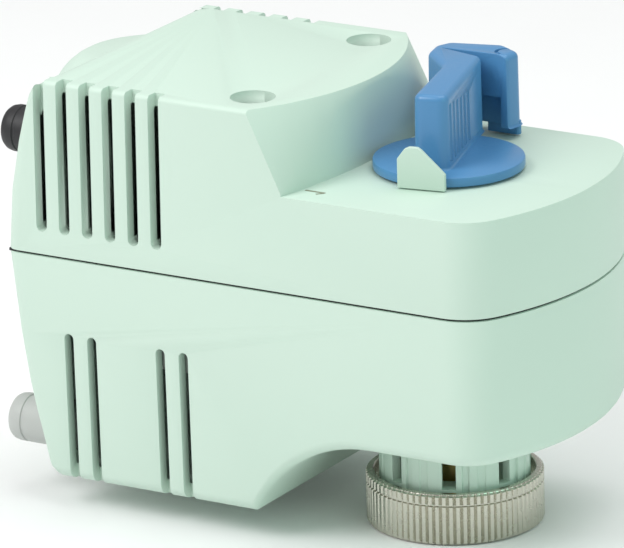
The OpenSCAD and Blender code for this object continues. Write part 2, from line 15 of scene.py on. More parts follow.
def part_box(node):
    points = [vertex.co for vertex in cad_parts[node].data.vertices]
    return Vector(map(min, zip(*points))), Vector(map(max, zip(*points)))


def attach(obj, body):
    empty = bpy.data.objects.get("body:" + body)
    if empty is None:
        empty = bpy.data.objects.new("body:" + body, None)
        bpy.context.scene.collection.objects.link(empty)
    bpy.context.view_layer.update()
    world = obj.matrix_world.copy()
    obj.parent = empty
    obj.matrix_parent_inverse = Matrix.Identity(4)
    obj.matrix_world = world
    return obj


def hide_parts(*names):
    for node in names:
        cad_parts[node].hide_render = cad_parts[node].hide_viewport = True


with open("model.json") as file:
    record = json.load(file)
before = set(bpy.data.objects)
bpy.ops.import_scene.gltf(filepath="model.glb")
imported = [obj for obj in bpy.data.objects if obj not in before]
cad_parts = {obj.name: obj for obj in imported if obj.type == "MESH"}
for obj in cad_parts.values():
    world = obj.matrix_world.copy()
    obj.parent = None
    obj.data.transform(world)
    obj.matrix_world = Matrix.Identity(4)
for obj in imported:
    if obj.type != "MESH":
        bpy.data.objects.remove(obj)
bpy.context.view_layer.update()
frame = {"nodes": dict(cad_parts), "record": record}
MM = 0.001


def box_mm(node):
    low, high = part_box(node)
    return low / MM, high / MM


# ---------------------------------------------------------------- sizes from the frame
LOWER_LO, LOWER_HI = box_mm("lower_housing")
UPPER_LO, UPPER_HI = box_mm("upper_housing")
NECK_HI = box_mm("valve_neck")[1]
NUT_HI = box_mm("union_nut")[1]
KNOB_HI = box_mm("manual_knob")[1]
SCREW_HI = box_mm("housing_screws")[1]
POINTER_LO, POINTER_HI = box_mm("position_pointer")

HALF_W = LOWER_HI.y
FRONT = LOWER_HI.x
REAR = LOWER_LO.x
REAR_Z = LOWER_LO.z
FRONT_Z = NECK_HI.z
PART_LOW = LOWER_HI.z
PART_HIGH = UPPER_LO.z
PART_Z = (PART_LOW + PART_HIGH) / 2
ROOF_Z = UPPER_HI.z
DECK_Z = POINTER_LO.z - 0.3
WALL = 3.0  # side walls
PLATE = 3.4  # roof, deck and floor

# housing form: draft, rounded corners, scoop under the front, step above the deck
DRAFT = 0.015
FRONT_ARC_R = 73.0
CORNER_R = 13.0
FRONT_CX = FRONT - FRONT_ARC_R
CORNER_Y = HALF_W - CORNER_R
CORNER_X = FRONT_CX + math.sqrt((FRONT_ARC_R - CORNER_R) ** 2 - CORNER_Y**2)
CORNER_A = math.atan2(CORNER_Y, CORNER_X - FRONT_CX)
REAR_CORNER_R = 4.0
REAR_WALL_STEPS = 26
CAP_STEPS = REAR_WALL_STEPS + 12  # stations on each side that share one flat cap at the rear
LEAN_FROM = REAR + 30  # the rear wall's lean fades out up to here
SCOOP_R = 36.5
SCOOP_X = -2.6
SCOOP_CZ = FRONT_Z - SCOOP_R
SCOOP_FOOT = SCOOP_X - math.sqrt(SCOOP_R**2 - (REAR_Z - SCOOP_CZ) ** 2)
ROOF_ARC_R = 63.0
ROOF_CX = -21.0 - ROOF_ARC_R
ROOF_SLANT = 8.5
BACK_WALL_R = 180.0
BACK_WALL_X = -20.4

# rear boss: centre, radius, top rounding and top height
BOSS_X = REAR + 14.5
BOSS_Y = 9.0
BOSS_R = 26.0
BOSS_ROUND = 14.0
BOSS_TOP = ROOF_Z - 4.0
BOSS_BLEND = 7.0

# vents, roof grooves and screw sinks
VENTS = 6
VENT_PITCH = 6.74
VENT_REAR = REAR + 11.4
VENT_W = 3.1
VENT_DEPTH = 4.4
VENT_FLOOR = PART_Z + 6.2
VENT_LONG = 90.0  # longer than any vent, so that the cutter leaves the housing
LOW_VENT_TOP = PART_Z - 19.8
LOW_VENT_W = 2.7
LOW_VENT_STEPS = (1, 2, 5, 6)
GROOVES = 10
GROOVE_PITCH = 6.4
GROOVE_END = -51.8
GROOVE_DEPTH = 0.6
SCREW_X = -39.0
SCREW_Y = SCREW_HI.y - 3.1
SINK_R = 5.7
SINK_DEPTH = 4.6

# valve neck and the nut's knurl
NECK_FLOOR = NUT_HI.z - 2.3
NECK_TURN = 25.3
NECK_SLOTS = 8
NECK_PITCH = 360 / NECK_SLOTS
FLUTES = 80
FLUTE_STEPS = 8
FLUTE_DEPTH = 0.62

# knob
DISC_R = 18.94
DISC_T = 2.5
DISC_Z = DECK_Z + 0.6
GRIP_Z = DISC_Z + DISC_T
KNOB_TOP = KNOB_HI.z + 0.8
SPINDLE_HOLE_R = 6.3
RIBS = 6
POINTER_ANGLE = 10 - 90

# camera: yaw, elevation and roll in degrees, distance and target in millimetres
CAM_YAW = 31.267
CAM_ELEVATION = 17.826
CAM_ROLL = -1.481
CAM_DISTANCE = 1752.1
CAM_TARGET = (-31.39, -14.88, 63.49)
CAM_LENS = 406.2
SENSOR_WIDTH = 36.0

# light: where the lamps aim (metres), the world's strength, the floor's reach (millimetres)
LIGHT_AIM = (-0.03, 0.0, 0.06)
WORLD_STRENGTH = 0.5
FLOOR_REACH = 4000

# sockets of the colour mix node
MIX_A, MIX_B, MIX_RESULT = 6, 7, 2


# ---------------------------------------------------------------- mesh helpers
def make(name, verts, faces):
    """A mesh object from millimetre points, with its normals facing out."""
    mesh = bpy.data.meshes.new(name)
    mesh.from_pydata([(x * MM, y * MM, z * MM) for x, y, z in verts], [], faces)
    work = bmesh.new()
    work.from_mesh(mesh)
    bmesh.ops.remove_doubles(work, verts=work.verts, dist=1e-7)
    bmesh.ops.dissolve_degenerate(work, dist=1e-8, edges=work.edges)
    bmesh.ops.recalc_face_normals(work, faces=work.faces)
    work.to_mesh(mesh)
    work.free()
    obj = bpy.data.objects.new(name, mesh)
    bpy.context.scene.collection.objects.link(obj)
    return obj


def bake(obj):
    """Applies all modifiers."""
    graph = bpy.context.evaluated_depsgraph_get()
    graph.update()
    mesh = bpy.data.meshes.new_from_object(obj.evaluated_get(graph))
    obj.modifiers.clear()
    obj.data = mesh
    return obj


def remove(obj):
    bpy.data.objects.remove(obj, do_unlink=True)


def cut(obj, tool):
    """Takes the tool's volume away from the object and removes the tool."""
    step = obj.modifiers.new("cut", "BOOLEAN")
    step.operation = "DIFFERENCE"
    step.object = tool
    step.solver = "MANIFOLD"
    bake(obj)
    remove(tool)


def bevel(obj, width, segments, angle):
    """Rounds every edge sharper than angle degrees."""
    step = obj.modifiers.new("round", "BEVEL")
    step.width = width * MM
    step.segments = segments
    step.limit_method = "ANGLE"
    step.angle_limit = math.radians(angle)
    step.use_clamp_overlap = True
    step.miter_outer = "MITER_ARC"
    return bake(obj)


def clean(obj, dist=0.004):
    """Joins points closer than dist millimetres and drops flat leftovers."""
    work = bmesh.new()
    work.from_mesh(obj.data)
    bmesh.ops.remove_doubles(work, verts=work.verts, dist=dist * MM)
    bmesh.ops.dissolve_degenerate(work, dist=dist * MM / 2, edges=work.edges)
    bmesh.ops.dissolve_limit(
        work, angle_limit=math.radians(0.4), verts=work.verts, edges=work.edges
    )
    work.to_mesh(obj.data)
    work.free()
    return obj


def smooth(obj, angle=32.0):
    """Smooth shading, broken at edges sharper than angle degrees."""
    for poly in obj.data.polygons:
        poly.use_smooth = True
    obj.data.set_sharp_from_angle(angle=math.radians(angle))
    return obj


def arc(cx, cy, r, a0, a1, n):
    """Points along an arc, angles in degrees."""
    angles = [math.radians(a0 + (a1 - a0) * i / n) for i in range(n + 1)]
    return [(cx + r * math.cos(a), cy + r * math.sin(a)) for a in angles]


def walls(n):
    """Faces between two outlines of n points, one behind the other in the point list."""
    return [(i, (i + 1) % n, n + (i + 1) % n, n + i) for i in range(n)]


def ring_faces(steps, rows, last):
    """Faces between profiles of rows points that stand around an axis."""
    faces = []
    for i in range(steps):
        j = (i + 1) % steps
        for k in range(last):
            m = (k + 1) % rows
            faces.append((i * rows + k, j * rows + k, j * rows + m, i * rows + m))
    return faces


def prism(name, outline, z0, z1):
    """A straight prism over a closed outline in X and Y."""
    n = len(outline)
    verts = [(x, y, z0) for x, y in outline] + [(x, y, z1) for x, y in outline]
    faces = [tuple(range(n))[::-1], tuple(range(n, 2 * n))] + walls(n)
    return make(name, verts, faces)


def cylinder(name, x, y, r, z0, z1, n=48):
    """An upright cylinder of n sides."""
    return prism(name, arc(x, y, r, 0, 360 * (n - 1) / n, n - 1), z0, z1)


def lathe(name, profile, steps, closed=False):
    """A body turned about Z: profile is a list of (radius, height)."""
    verts = []
    rows = len(profile)
    for i in range(steps):
        a = 2 * math.pi * i / steps
        verts += [(r * math.cos(a), r * math.sin(a), z) for r, z in profile]
    faces = ring_faces(steps, rows, rows if closed else rows - 1)
    if not closed:
        faces.append(tuple(i * rows for i in range(steps)))
        faces.append(tuple(i * rows + rows - 1 for i in range(steps)))
    return make(name, verts, faces)


def offset_ring(corners, inset, steps=5):
    """Outline of rounded corners (x, y, radius), counterclockwise, moved inwards by inset."""
    count = len(corners)
    points = []
    for i in range(count):
        ax, ay, _ = corners[i - 1]
        bx, by, r = corners[i]
        cx, cy, _ = corners[(i + 1) % count]
        d0 = Vector((bx - ax, by - ay)).normalized()
        d1 = Vector((cx - bx, cy - by)).normalized()
        n0, n1 = Vector((-d0.y, d0.x)), Vector((-d1.y, d1.x))
        corner = Vector((bx, by)) + (n0 + n1) * inset / (1 + n0.dot(n1))
        cross = d0.x * d1.y - d0.y * d1.x
        sign = 1 if cross > 0 else -1
        radius = max(r - sign * inset, 0.05)
        turn = math.atan2(abs(cross), d0.dot(d1))
        reach = radius * math.tan(turn / 2)
        centre = corner - d0 * reach + n0 * radius * sign
        start = math.atan2(*(-n0 * sign).yx)
        for k in range(steps + 1):
            a = start + sign * turn * k / steps
            points.append((centre.x + radius * math.cos(a), centre.y + radius * math.sin(a)))
    return points


def loft(name, rings):
    """A closed body through rings of (x, y, z) points, all of one length."""
    count = len(rings[0])
    verts = [p for ring in rings for p in ring]
    faces = [tuple(range(count))[::-1]]
    faces.append(tuple(range((len(rings) - 1) * count, len(rings) * count)))
    for k in range(len(rings) - 1):
        for j in range(count):
            m = (j + 1) % count
            faces.append((k * count + j, k * count + m, (k + 1) * count + m, (k + 1) * count + j))
    return make(name, verts, faces)


def rounded_block(name, corners, z0, z1, low_r, high_r, skirt=0.0, draft=0.0):
    """A block over an outline with rounded top and bottom edges.

    A skirt puts a fillet of that radius at its foot in place of the rounded bottom edge."""
    rows = []
    if skirt:
        for k in range(6):
            a = math.radians(90 * k / 5)
            rows.append((z0 + skirt * (1 - math.cos(a)), -skirt * (1 - math.sin(a))))
    else:
        for k in range(4):
            a = math.radians(90 * k / 3)
            rows.append((z0 + low_r * (1 - math.cos(a)), low_r * (1 - math.sin(a))))
    for k in range(7):
        a = math.radians(90 * k / 6)
        rows.append((z1 - high_r * (1 - math.sin(a)), high_r * (1 - math.cos(a))))
    return loft(name, [
        [(x, y, z) for x, y in offset_ring(corners, inset + draft * (z - z0))]
        for z, inset in rows
    ])


def joined(name, parts):
    """Several objects as one mesh."""
    work = bmesh.new()
    for part in parts:
        work.from_mesh(part.data)
        remove(part)
    mesh = bpy.data.meshes.new(name)
    work.to_mesh(mesh)
    work.free()
    obj = bpy.data.objects.new(name, mesh)
    bpy.context.scene.collection.objects.link(obj)
    return obj


def turned(obj, matrix):
    """Moves the mesh by a matrix; the object itself stays put."""
    obj.data.transform(matrix)
    return obj


def moved(obj, x, y, z):
    """Shifts the mesh by millimetres."""
    return turned(obj, Matrix.Translation((x * MM, y * MM, z * MM)))


# ---------------------------------------------------------------- housing skins
def outline_stations(rear_r):
    """Half the housing's outline from the rear wall to the front tip on the -Y side.

    Each station is (centre x, centre y, direction x, direction y, radius)."""
    stations = [
        (REAR + rear_r, -(HALF_W - rear_r) * i / REAR_WALL_STEPS, -1.0, 0.0, rear_r)
        for i in range(REAR_WALL_STEPS)
    ]
    for i in range(7):
        a = math.radians(180 + 90 * i / 6)
        stations.append(
            (REAR + rear_r, -(HALF_W - rear_r), math.cos(a), math.sin(a), rear_r)
        )
    first = REAR + rear_r
    near_foot = [SCOOP_FOOT - 1.2, SCOOP_FOOT - 0.3, SCOOP_FOOT + 0.5, SCOOP_FOOT + 1.4]
    xs = list(np.linspace(first + 2, SCOOP_FOOT - 3, 18)) + near_foot
    xs += list(np.linspace(SCOOP_FOOT + 3, CORNER_X - 1.5, 26))
    stations += [(x, 0.0, 0.0, -1.0, HALF_W) for x in xs]
    for i in range(11):
        a = math.radians(-90) + (math.radians(90) - CORNER_A) * i / 10
        stations.append((CORNER_X, -CORNER_Y, math.cos(a), math.sin(a), CORNER_R))
    for i in range(1, 15):
        a = -CORNER_A * (1 - i / 14)
        stations.append((FRONT_CX, 0.0, math.cos(a), math.sin(a), FRONT_ARC_R))
    return stations


def boss_face(x, y, z):
    """Pushes a point of the rear wall out to the rounded boss, softly blended."""
    reach = BOSS_R
    if z > BOSS_TOP - BOSS_ROUND:
        rise = min(z - BOSS_TOP + BOSS_ROUND, BOSS_ROUND)
        reach = BOSS_R - BOSS_ROUND + math.sqrt(BOSS_ROUND**2 - rise**2)
    away = abs(y - BOSS_Y)
    if away >= reach:
        return x
    face = BOSS_X - math.sqrt(reach**2 - away**2) + max(0.0, z - BOSS_TOP + 1) * 8
    near = max(BOSS_BLEND - abs(face - x), 0.0) / BOSS_BLEND
    return min(face, x) - near**2 * BOSS_BLEND / 4


def skin(name, rows, shift, rear_r=REAR_CORNER_R, boss=False):
    """A closed body lofted over the housing's outline.

    rows is a list of functions of a station that give (height, inset);
    shift(z) moves the rear wall forwards with height."""
    near = outline_stations(rear_r)
    n = len(near)
    far = [(cx, -cy, dx, -dy, r) for cx, cy, dx, dy, r in near[-2:0:-1]]
    ring = near + far
    count = len(ring)
    verts = []
    for row in rows:
        for cx, cy, dx, dy, r in ring:
            z, inset = row(cx + dx * r, dx)
            share = (LEAN_FROM - cx - dx * r) / (LEAN_FROM - REAR)
            lean = shift(z) * min(1.0, max(0.0, share))
            px, py = cx + dx * (r - inset) + lean, cy + dy * (r - inset)
            if boss and dx < -0.3:
                px = boss_face(px, py, z)
            verts.append((px, py, z))
    faces = []
    for k in range(len(rows) - 1):
        for j in range(count):
            m = (j + 1) % count
            faces.append((k * count + j, k * count + m, (k + 1) * count + m, (k + 1) * count + j))
    for base in (0, (len(rows) - 1) * count):
        faces.append(tuple(base + j % count for j in range(-CAP_STEPS, CAP_STEPS + 1)))
        for j in range(CAP_STEPS, n - 1):
            pair = (base + j, base + j + 1, base + count - j - 1, base + (count - j) % count)
            faces.append(tuple(dict.fromkeys(pair)))
    return make(name, verts, faces)


def ramp(z, points):
    """Value at height z on a line through (height, value) points."""
    return float(np.interp(z, [p[0] for p in points], [p[1] for p in points]))


def low_shift(z):
    """How far the lower half's rear wall leans forwards at height z."""
    points = ((REAR_Z, 11.0), (REAR_Z + 3, 9.0), (REAR_Z + 10, 7.4), (REAR_Z + 22, 4.4))
    return ramp(z, points + ((PART_Z - 21, 2.0), (PART_Z, 0.0)))


def high_shift(z):
    """How far the upper half's rear wall leans forwards at height z."""
    points = ((PART_Z, 0.0), (PART_Z + 15.5, 1.0), (DECK_Z + 4, 3.4), (ROOF_Z - 8.5, 5.5))
    return ramp(z, points + ((ROOF_Z - 2, 7.6), (ROOF_Z, 8.6)))


def underside(x):
    """Height of the lower housing's underside at x."""
    if x <= SCOOP_FOOT:
        return REAR_Z
    if x >= SCOOP_X:
        return FRONT_Z
    return SCOOP_CZ + math.sqrt(SCOOP_R**2 - (x - SCOOP_X) ** 2)


def lower_rows(inset, lift, over):
    """Rows from the parting line down and under the edge.

    inset and lift shrink the body for the room inside, over raises its top."""
    top = PART_LOW + over
    base_r = 3.2 if inset == 0 else 1.0

    def edge_r(dx):
        return base_r + 1.5 * max(0.0, -dx)

    rows = []
    for k in range(9):
        rows.append(
            lambda x, dx, k=k: (
                top + (underside(x) + lift + edge_r(dx) - top) * k / 8,
                inset + DRAFT * max(0.0, top - over - (top + (underside(x) + lift - top) * k / 8)),
            )
        )
    for k in range(1, 7):
        a = math.radians(90 * k / 6)
        rows.append(
            lambda x, dx, a=a: (
                underside(x) + lift + edge_r(dx) * (1 - math.sin(a)),
                inset + DRAFT * (top - over - underside(x) - lift)
                + edge_r(dx) * (1 - math.cos(a)),
            )
        )
    return rows


def upper_rows(inset, drop, under):
    """Rows from the parting line up and over the roof's edge.

    inset and drop shrink the body for the room inside, under lowers its foot."""
    base = PART_HIGH - under
    roof = ROOF_Z - drop

    def edge_r(dx):
        return 1.3 + 5.0 * max(0.0, -dx) if inset == 0 else 0.8

    rows = []
    for k in range(25):
        rows.append(
            lambda x, dx, k=k: (
                base + (roof - edge_r(dx) - base) * k / 24,
                inset + DRAFT * max(0.0, (roof - edge_r(dx) - PART_HIGH) * k / 24),
            )
        )
    for k in range(1, 10):
        a = math.radians(90 * k / 9)
        rows.append(
            lambda x, dx, a=a: (
                roof - edge_r(dx) * (1 - math.sin(a)),
                inset + DRAFT * (roof - edge_r(dx) - PART_HIGH) + edge_r(dx) * (1 - math.cos(a)),
            )
        )
    return rows


def stadium(w, h, n=10):
    """A slot's outline, flat at the foot and round at the top."""
    return [(-w / 2, 0.0), (w / 2, 0.0)] + arc(0, h - w / 2, w / 2, 0, 180, n)


def slot_tool(x, side, outline):
    """A vent cutter: the outline stands in X and Z and runs through the side wall."""
    n = len(outline)
    ys = (side * (HALF_W - VENT_DEPTH), side * (HALF_W + 4))
    verts = [(x + a, y, b) for y in ys for a, b in outline]
    return make("tool", verts, [tuple(range(n)), tuple(range(n, 2 * n))] + walls(n))


def front_cone_tool():
    """Everything in front of the slanted cone above the deck."""
    n, outer = 40, 260
    a = [math.radians(-75 + 150 * i / n) for i in range(n + 1)]
    z0, z1 = DECK_Z, ROOF_Z + 6
    slope = ROOF_SLANT / (ROOF_Z - DECK_Z)
    r0 = ROOF_ARC_R + ROOF_SLANT
    r1 = r0 - slope * (z1 - z0)
    verts = []
    for r, z in ((r0, z0), (r1, z1), (outer, z0), (outer, z1)):
        verts += [(ROOF_CX + r * math.cos(t), r * math.sin(t), z) for t in a]
    m = n + 1
    faces = []
    for i in range(n):
        faces.append((i, i + 1, m + i + 1, m + i))
        faces.append((2 * m + i, 2 * m + i + 1, 3 * m + i + 1, 3 * m + i))
        faces.append((i, i + 1, 2 * m + i + 1, 2 * m + i))
        faces.append((m + i, m + i + 1, 3 * m + i + 1, 3 * m + i))
    for i in (0, n):
        faces.append((i, m + i, 3 * m + i, 2 * m + i))
    return make("tool", verts, faces)


def front_wall_tool():
    """Everything in front of the gently bulged wall above the deck."""
    edge = arc(BACK_WALL_X - BACK_WALL_R, 0, BACK_WALL_R, -18, 18, 36)
    outline = edge + [(120.0, edge[-1][1]), (120.0, edge[0][1])]
    return prism("tool", outline, DECK_Z, ROOF_Z + 6)


def housing_finish(obj, node, material):
    """Node, body and material of one housing half."""
    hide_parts(node)
    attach(obj, "root")
    obj.data.materials.clear()
    obj.data.materials.append(material)
    return smooth(obj)


def lower_housing(material):
    body = skin("lower_shell", lower_rows(0, 0, 0), low_shift)
    room = skin("tool", lower_rows(WALL, PLATE, 2), lambda z: low_shift(z - PLATE) + 0.4)
    cut(body, room)
    bore = cylinder("tool", 0, 0, NECK_HI.x + 0.15, -5, FRONT_Z + 0.05, 96)
    cut(body, bore)
    for side in (-1, 1):
        for step in LOW_VENT_STEPS:
            x = VENT_REAR + step * VENT_PITCH
            shape = [(a, b + LOW_VENT_TOP - VENT_LONG) for a, b in stadium(LOW_VENT_W, VENT_LONG)]
            cut(body, slot_tool(x, side, shape))
    low, high = box_mm("cable_gland")
    hole = cylinder("tool", 0, 0, (high.z - low.z) / 2 + 0.15, low.x - 2, high.x - 1)
    turned(hole, Matrix.Rotation(math.radians(90), 4, "Y"))
    moved(hole, 0, (low.y + high.y) / 2, (low.z + high.z) / 2)
    cut(body, hole)
    clean(body)
    bevel(body, 0.35, 2, 38)
    return housing_finish(body, "lower_housing", material)


def upper_housing(material):
    body = skin("upper_shell", upper_rows(0, 0, 0), high_shift, boss=True)
    cut(body, front_cone_tool())
    cut(body, front_wall_tool())
    room = skin("tool", upper_rows(WALL, PLATE, 2), lambda z: high_shift(z + PLATE) + 0.2)
    above_deck = [(-36, -60), (80, -60), (80, 60), (-36, 60)]
    cut(room, prism("cut", above_deck, DECK_Z - PLATE, ROOF_Z + 9))
    cut(body, room)
    sink_floor = ROOF_Z - SINK_DEPTH
    for side in (-1, 1):
        for step in range(VENTS):
            x = VENT_REAR + step * VENT_PITCH
            shape = [(a, VENT_FLOOR + VENT_LONG - b) for a, b in stadium(VENT_W, VENT_LONG)]
            cut(body, slot_tool(x, side, shape))
        sink = cylinder("tool", SCREW_X, side * SCREW_Y, SINK_R, sink_floor, ROOF_Z + 3, 64)
        cut(body, sink)
    cut(body, cylinder("tool", 0, 0, SPINDLE_HOLE_R, DECK_Z - 6, DECK_Z + 2, 64))
    clean(body)
    bevel(body, 0.45, 3, 35)
    for step in range(GROOVES):
        y = (step - (GROOVES - 1) / 2) * GROOVE_PITCH
        end = GROOVE_END - y * y / 100
        half = 1.3 if step == 0 else 0.65
        outline = arc(end - half, y, half, -90, 90, 8)
        outline += [(REAR - 4, y + half), (REAR - 4, y - half)]
        cut(body, prism("tool", outline, ROOF_Z - GROOVE_DEPTH, ROOF_Z + 2))
    return housing_finish(body, "upper_housing", material)


# ---------------------------------------------------------------- knob
def manual_knob(material):
    """Disc, hairpin grip with finger ribs, and the short block under the grip's far end."""
    foot = GRIP_Z - 0.05
    corners = [
        (-2.4, -13.6, 2.6), (6.6, -11.6, 2.8), (-3.6, 23.6, 0.8), (2.0, 26.8, 1.8),
        (2.8, 32.0, 2.6), (-4.2, 36.2, 3.4), (-18.0, 32.4, 3.2), (-19.8, 27.8, 3.0),
        (-18.4, 21.8, 4.0), (-9.4, 13.4, 6.0),
    ]
    grip = rounded_block("knob", corners, foot, KNOB_TOP, 0, 1.6, skirt=0.7, draft=0.012)
    wedge = [(-17.0, 26.2), (-3.0, 22.9), (7.0, 20.6), (7.0, 26.6), (-1.4, 26.8)]
    cut(grip, prism("tool", wedge, GRIP_Z - 3, KNOB_TOP + 4))
    low_room = [(-7.4, 23), (-0.2, 23), (-0.2, 30.0), (-7.4, 30.0)]
    cut(grip, prism("tool", low_room, GRIP_Z - 3, KNOB_TOP - 11))
    high_room = [(-14, 25), (-7.2, 25), (-7.2, 29.6), (-14, 29.6)]
    cut(grip, prism("tool", high_room, GRIP_Z - 3, KNOB_TOP - 4))
    side = Vector((-10.2, 35.2)).normalized()
    for step in range(RIBS):
        at = Vector((5.9, -9.2)) + side * (1.0 + 3.8 * step)
        width = 1.15 if step == 0 else 0.85
        out = Vector((side.y, -side.x)) * (width * 0.25)
        top = KNOB_TOP - 2.6 - 0.5 * step
        cut(grip, cylinder("tool", at.x + out.x, at.y + out.y, width, GRIP_Z + 1.4, top, 20))
    moon = arc(-0.4, 30.3, 3.0, 95, 260, 16) + arc(-0.1, 30.3, 2.3, 260, 95, 16)
    cut(grip, prism("tool", moon, KNOB_TOP - 0.6, KNOB_TOP + 1))
    clean(grip)
    bevel(grip, 0.3, 2, 40)
    disc_z = [(DISC_Z, DISC_R - 0.35), (DISC_Z + 0.15, DISC_R - 0.1), (DISC_Z + 0.4, DISC_R)]
    disc_z += [(GRIP_Z - 0.5, DISC_R), (GRIP_Z - 0.15, DISC_R - 0.15), (GRIP_Z, DISC_R - 0.5)]
    disc = lathe("disc", [(0.01, DISC_Z)] + [(r, z) for z, r in disc_z] + [(0.01, GRIP_Z)], 144)
    foot_block = rounded_block(
        "foot", [(-6.6, 30.6, 0.4), (2.6, 30.6, 0.8), (2.8, 32.0, 0.8), (-4.2, 36.0, 1.2)],
        DECK_Z + 0.5, GRIP_Z + 1.0, 0.25, 0.1,
    )
    knob = joined("knob_body", [grip, disc, foot_block])
    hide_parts("manual_knob")
    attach(knob, "knob")
    knob.data.materials.append(material)
    return smooth(knob, 35)


def spindle(material):
    """Collar under the deck, shaft through it and the pin that ends inside the grip."""
    foot = DECK_Z - PLATE - 2.2
    profile = [
        (0.01, foot - 0.3), (8.3, foot - 0.3), (8.5, foot - 0.1), (8.5, foot + 1.1),
        (8.3, foot + 1.3), (6.0, foot + 1.3), (6.0, DISC_Z - 0.15), (5.9, DISC_Z - 0.05),
        (2.4, DISC_Z - 0.05), (2.4, GRIP_Z + 3.0), (2.2, GRIP_Z + 3.2), (0.01, GRIP_Z + 3.2),
    ]
    obj = lathe("spindle", profile, 64)
    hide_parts("knob_spindle")
    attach(obj, "knob")
    obj.data.materials.append(material)
    return smooth(obj, 30)


def pointer(material):
    """The little tab at the disc's rim, standing along the rim's tangent."""
    w, h, t = 12.4, POINTER_HI.z - POINTER_LO.z, 1.3
    corners = [
        (0, 0, 0.3), (w, 0, 0.3), (w, h * 0.40, 0.6), (w * 0.51, h * 0.94, 0.8),
        (w * 0.43, h, 1.0), (w * 0.25, h, 1.2), (w * 0.16, h * 0.95, 0.8), (0, h * 0.70, 0.7),
    ]
    tab = rounded_block("tab", corners, 0, t, 0.22, 0.22)
    # drawn lying down: its X becomes Y, its Y becomes Z and its thickness X
    stand = Matrix(((0, 0, 1, 0), (1, 0, 0, 0), (0, 1, 0, 0), (0, 0, 0, 1)))
    turned(tab, stand)
    moved(tab, DISC_R + 0.1, -w / 2, POINTER_LO.z)
    inner, outer = DISC_R - 1.7, DISC_R + 0.3
    foot = [(inner, -3.4, 0.2), (outer, -3.4, 0.2), (outer, 3.4, 0.2), (inner, 3.4, 0.2)]
    peg = rounded_block("peg", foot, DISC_Z + 0.06, GRIP_Z + 0.1, 0.1, 0.15)
    obj = joined("pointer", [tab, peg])
    turned(obj, Matrix.Rotation(math.radians(POINTER_ANGLE), 4, "Z"))
    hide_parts("position_pointer")
    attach(obj, "knob")
    obj.data.materials.append(material)
    return smooth(obj, 35)


# ---------------------------------------------------------------- valve end
def union_nut(material):
    """The fluted nut: rows are (height, outward shift, share of the flute's depth)."""
    outer_r, height = NUT_HI.x, NUT_HI.z
    band = height - 3.0
    rows = [
        (0.0, -0.6, 0.3), (0.2, -0.3, 0.6), (0.5, 0.0, 1), (1.5, 0.0, 1), (1.9, 0.0, 1),
        (band - 0.25, 0.0, 1), (band - 0.05, -0.45, 0.15), (band + 0.15, -0.45, 0.15),
        (band + 0.3, 0.0, 1), (height - 0.7, 0.0, 1), (height - 0.45, -0.5, 0.5),
        (height - 0.15, -0.65, 0), (height, -0.9, 0),
    ]
    inner = [
        (height, 20.5), (height - 0.25, 20.25), (NECK_FLOOR - 0.4, 20.2),
        (NECK_FLOOR - 0.4, 13.05), (8.5, 13.05), (8.5, 14.8), (6.5, 14.8), (6.5, 12.1),
        (0.5, 12.1), (0.0, 12.6),
    ]
    steps = FLUTES * FLUTE_STEPS
    verts = []
    for i in range(steps):
        a = 2 * math.pi * i / steps
        u = (i % FLUTE_STEPS) / FLUTE_STEPS
        dip = max(0.0, 1 - abs(u - 0.5) / 0.26)
        dip = dip * dip * (3 - 2 * dip)
        around = [(z, outer_r + push - FLUTE_DEPTH * depth * dip) for z, push, depth in rows]
        verts += [(r * math.cos(a), r * math.sin(a), z) for z, r in around + inner]
    count = len(rows) + len(inner)
    obj = make("nut_body", verts, ring_faces(steps, count, count))
    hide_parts("union_nut")
    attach(obj, "nut")
    obj.data.materials.append(material)
    return smooth(obj, 28)


def neck_band(degrees):
    """How far the neck's face stands back at an angle: two bands after every slot."""
    local = (degrees - NECK_TURN) % NECK_PITCH
    if 10.5 <= local < 15.5:
        return -0.55
    if 22.5 < local <= 28:
        return -0.3
    return 0.0


def valve_neck(material):
    """Tube with slots and upright bands under the housing."""
    outer, top, web, steps = NECK_HI.x, FRONT_Z, 2.5, 360
    inside = [
        (8.1, top), (8.1, top - web), (outer - 2.6, top - web), (outer - 2.6, NECK_FLOOR + 2),
        (11.0, NECK_FLOOR + 2), (11.0, 6.8), (13.0, 6.8), (13.0, 7.1), (12.2, 7.1),
        (12.2, 8.3), (13.0, 8.3), (13.0, NECK_FLOOR),
    ]
    verts = []
    for i in range(steps):
        a = math.radians(i)
        r = outer + neck_band(i)
        outside = [(r - 0.3, NECK_FLOOR), (r, NECK_FLOOR + 0.3), (r, top - 0.9)]
        outside += [(r - 0.25, top - 0.6), (r - 0.25, top)]
        verts += [(d * math.cos(a), d * math.sin(a), z) for d, z in outside + inside]
    count = len(outside) + len(inside)
    body = make("neck_body", verts, ring_faces(steps, count, count))
    half, low, high = 1.75, NECK_FLOOR + 2.5, top - 3.6
    slot = [(-half, low, 0.1), (half, low, 0.1), (half, high, 0.9), (-half, high, 0.9)]
    shape = offset_ring(slot, 0, 4)
    n = len(shape)
    for i in range(NECK_SLOTS):
        points = [(x, y, z) for x in (outer - 5, outer + 3) for y, z in shape]
        tool = make("tool", points, [tuple(range(n)), tuple(range(n, 2 * n))] + walls(n))
        turned(tool, Matrix.Rotation(math.radians(NECK_TURN + NECK_PITCH * i), 4, "Z"))
        cut(body, tool)
    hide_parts("valve_neck")
    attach(body, "root")
    body.data.materials.clear()
    body.data.materials.append(material)
    return smooth(body, 30)


